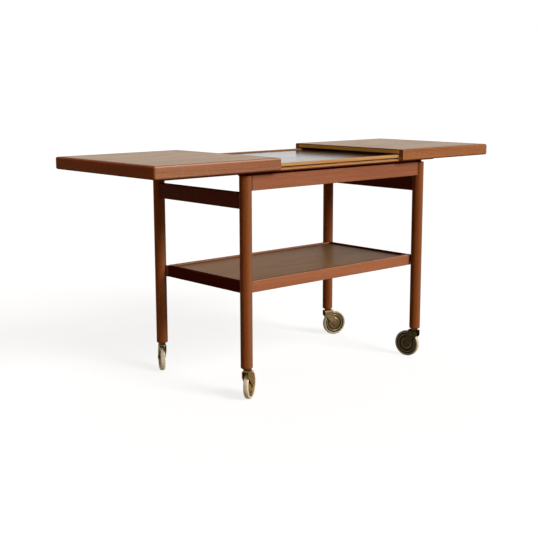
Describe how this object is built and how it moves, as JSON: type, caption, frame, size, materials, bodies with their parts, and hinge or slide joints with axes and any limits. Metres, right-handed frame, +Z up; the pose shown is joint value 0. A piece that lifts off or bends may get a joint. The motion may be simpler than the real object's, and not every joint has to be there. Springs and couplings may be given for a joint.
{
  "type": "sliding-leaf tea trolley",
  "caption": "Wooden tea trolley on castors: two grooved-edge sliding leaves over a dark centre board, round legs and a lipped lower shelf.",
  "frame": {"origin": "on the floor, under the middle of the four legs", "axes": "+X along the trolley's length, +Y to its back, +Z up"},
  "size_m": [1.212, 0.4499, 0.61],
  "materials": {
    "teak": "oiled teak, satin",
    "teak_veneer": "teak veneer, satin",
    "light_lipping": "light hardwood edging, satin",
    "beech": "plain beech",
    "board": "raw core board",
    "laminate": "dark satin laminate",
    "brass": "aged brass plating",
    "steel": "bright steel",
    "tyre_rubber": "pale cream rubber"
  },
  "bodies": {
    "frame": {"leg_front_left": "teak", "leg_front_right": "teak", "leg_back_left": "teak", "leg_back_right": "teak", "apron_back": "teak", "apron_front": "teak", "end_rail_left": "teak", "end_rail_right": "teak", "shelf_lip_back": "teak", "shelf_lip_front": "teak", "shelf_lip_left": "teak", "shelf_lip_right": "teak", "shelf_panel": "teak_veneer", "cross_battens": "beech", "gap_strips": "teak", "frame_dowels": "beech", "shelf_dowels": "beech", "board_screws": "steel", "shelf_screws": "steel", "castor_sockets": "brass", "board_lip_back": "light_lipping", "board_lip_front": "light_lipping", "board_lip_left": "light_lipping", "board_lip_right": "light_lipping", "board_core": "board", "board_laminate": "laminate"},
    "leaf_left": {"leaf_left_panel": "teak_veneer", "leaf_left_inner_lipping": "teak", "leaf_left_rail_back": "teak", "leaf_left_rail_front": "teak", "leaf_left_rail_end": "teak", "leaf_left_tongues": "beech", "leaf_left_stop_pins": "steel"},
    "leaf_right": {"leaf_right_panel": "teak_veneer", "leaf_right_inner_lipping": "teak", "leaf_right_rail_back": "teak", "leaf_right_rail_front": "teak", "leaf_right_rail_end": "teak", "leaf_right_tongues": "beech", "leaf_right_stop_pins": "steel"},
    "castor_front_left": {"castor_front_left_fork": "brass", "castor_front_left_stem": "steel", "castor_front_left_axle": "brass"},
    "wheel_front_left": {"castor_front_left_wheel": "brass", "castor_front_left_tyre": "tyre_rubber"},
    "castor_front_right": {"castor_front_right_fork": "brass", "castor_front_right_stem": "steel", "castor_front_right_axle": "brass"},
    "wheel_front_right": {"castor_front_right_wheel": "brass", "castor_front_right_tyre": "tyre_rubber"},
    "castor_back_left": {"castor_back_left_fork": "brass", "castor_back_left_stem": "steel", "castor_back_left_axle": "brass"},
    "wheel_back_left": {"castor_back_left_wheel": "brass", "castor_back_left_tyre": "tyre_rubber"},
    "castor_back_right": {"castor_back_right_fork": "brass", "castor_back_right_stem": "steel", "castor_back_right_axle": "brass"},
    "wheel_back_right": {"castor_back_right_wheel": "brass", "castor_back_right_tyre": "tyre_rubber"}
  },
  "joints": [
    {"name": "leaf_left_slide", "type": "slide", "parent": "frame", "child": "leaf_left", "axis": [-1, 0, 0], "range_m": [-0.2355, 0.004]},
    {"name": "leaf_right_slide", "type": "slide", "parent": "frame", "child": "leaf_right", "axis": [1, 0, 0], "range_m": [-0.2155, 0.024]},
    {"name": "castor_front_left_swivel", "type": "hinge", "parent": "frame", "child": "castor_front_left", "pos_m": [-0.322, -0.18, 0.1015], "axis": [0, 0, 1], "continuous": true},
    {"name": "wheel_front_left_spin", "type": "hinge", "parent": "castor_front_left", "child": "wheel_front_left", "pos_m": [-0.30236, -0.1671, 0.0375], "axis": [-0.549, 0.8358, 0], "continuous": true},
    {"name": "castor_front_right_swivel", "type": "hinge", "parent": "frame", "child": "castor_front_right", "pos_m": [0.322, -0.18, 0.1015], "axis": [0, 0, 1], "continuous": true},
    {"name": "wheel_front_right_spin", "type": "hinge", "parent": "castor_front_right", "child": "wheel_front_right", "pos_m": [0.31711, -0.15701, 0.0375], "axis": [-0.9781, -0.2079, 0], "continuous": true},
    {"name": "castor_back_left_swivel", "type": "hinge", "parent": "frame", "child": "castor_back_left", "pos_m": [-0.322, 0.18, 0.1015], "axis": [0, 0, 1], "continuous": true},
    {"name": "wheel_back_left_spin", "type": "hinge", "parent": "castor_back_left", "child": "wheel_back_left", "pos_m": [-0.31043, 0.20045, 0.0375], "axis": [-0.8704, 0.4924, 0], "continuous": true},
    {"name": "castor_back_right_swivel", "type": "hinge", "parent": "frame", "child": "castor_back_right", "pos_m": [0.322, 0.18, 0.1015], "axis": [0, 0, 1], "continuous": true},
    {"name": "wheel_back_right_spin", "type": "hinge", "parent": "castor_back_right", "child": "wheel_back_right", "pos_m": [0.34435, 0.17274, 0.0375], "axis": [0.309, 0.9511, 0], "continuous": true}
  ]
}
